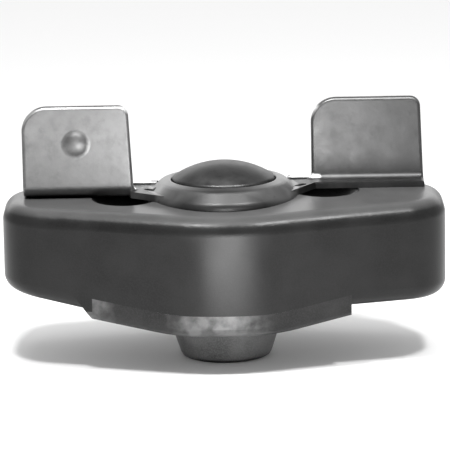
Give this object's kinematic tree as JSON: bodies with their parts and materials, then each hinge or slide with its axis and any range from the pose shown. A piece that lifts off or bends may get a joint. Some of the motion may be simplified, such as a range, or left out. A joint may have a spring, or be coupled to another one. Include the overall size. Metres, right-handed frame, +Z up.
{
  "type": "wing nut",
  "caption": "Hand-turned nut: a cast two-arm body with a threaded bush under a dome cap, and a stamped plate whose two ends stand up as wings.",
  "frame": {"origin": "on the thread axis, at the flat bottom of the bush's nose, which rests on the work", "axes": "+X along the arms, +Z up the thread axis away from the work, -Y the front"},
  "size_m": [0.06, 0.0286, 0.0351],
  "materials": {
    "body_coat": "satin dark grey coat on a casting",
    "tray_coat": "satin dark grey coat, worn to metal at the ends",
    "bush_steel": "dark phosphated steel, slightly oiled",
    "washer_steel": "plain steel",
    "cap_steel": "dull grey steel",
    "zinc_sheet": "dull zinc-coated sheet with rolled edges"
  },
  "bodies": {
    "root": {"body": "body_coat", "base_plate": "tray_coat", "threaded_bush": "bush_steel", "retaining_washer": "washer_steel", "dome_cap": "cap_steel", "wing_plate": "zinc_sheet"}
  },
  "joints": []
}
